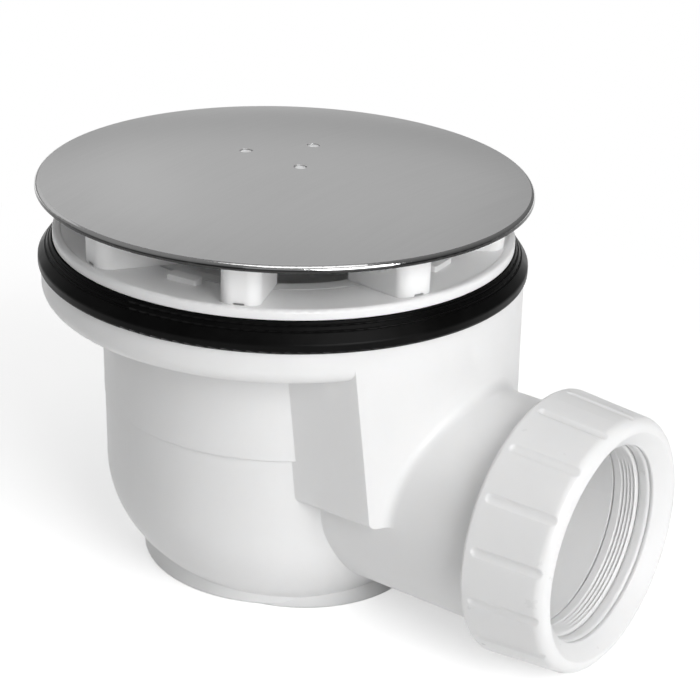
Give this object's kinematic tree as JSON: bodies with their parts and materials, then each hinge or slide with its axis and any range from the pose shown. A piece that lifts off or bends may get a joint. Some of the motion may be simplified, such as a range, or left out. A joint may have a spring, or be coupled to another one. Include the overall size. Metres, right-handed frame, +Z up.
{
  "type": "shower trap",
  "caption": "Low bottle trap for a shower tray: domed metal cover over a water-seal pot with a weir chamber and a compression nut on its side outlet.",
  "frame": {"origin": "the pot's axis at the underside of its foot", "axes": "+Z up along the pot's axis, +X out of the outlet along its pipe"},
  "size_m": [0.1507, 0.115, 0.1004],
  "materials": {
    "white_plastic": "semi-gloss moulded",
    "nut_plastic": "semi-gloss moulded",
    "tube_plastic": "satin moulded",
    "steel": "satin",
    "black_rubber": "smooth moulded",
    "pale_rubber": "soft moulded"
  },
  "bodies": {
    "root": {"body": "white_plastic", "inlet_flange": "white_plastic", "cover_carrier": "white_plastic", "outlet_nut": "nut_plastic", "slip_ring": "nut_plastic", "dip_tube": "tube_plastic", "cover_skin": "steel", "tray_gasket": "black_rubber", "tube_o_ring": "black_rubber", "outlet_seal": "pale_rubber"}
  },
  "joints": []
}
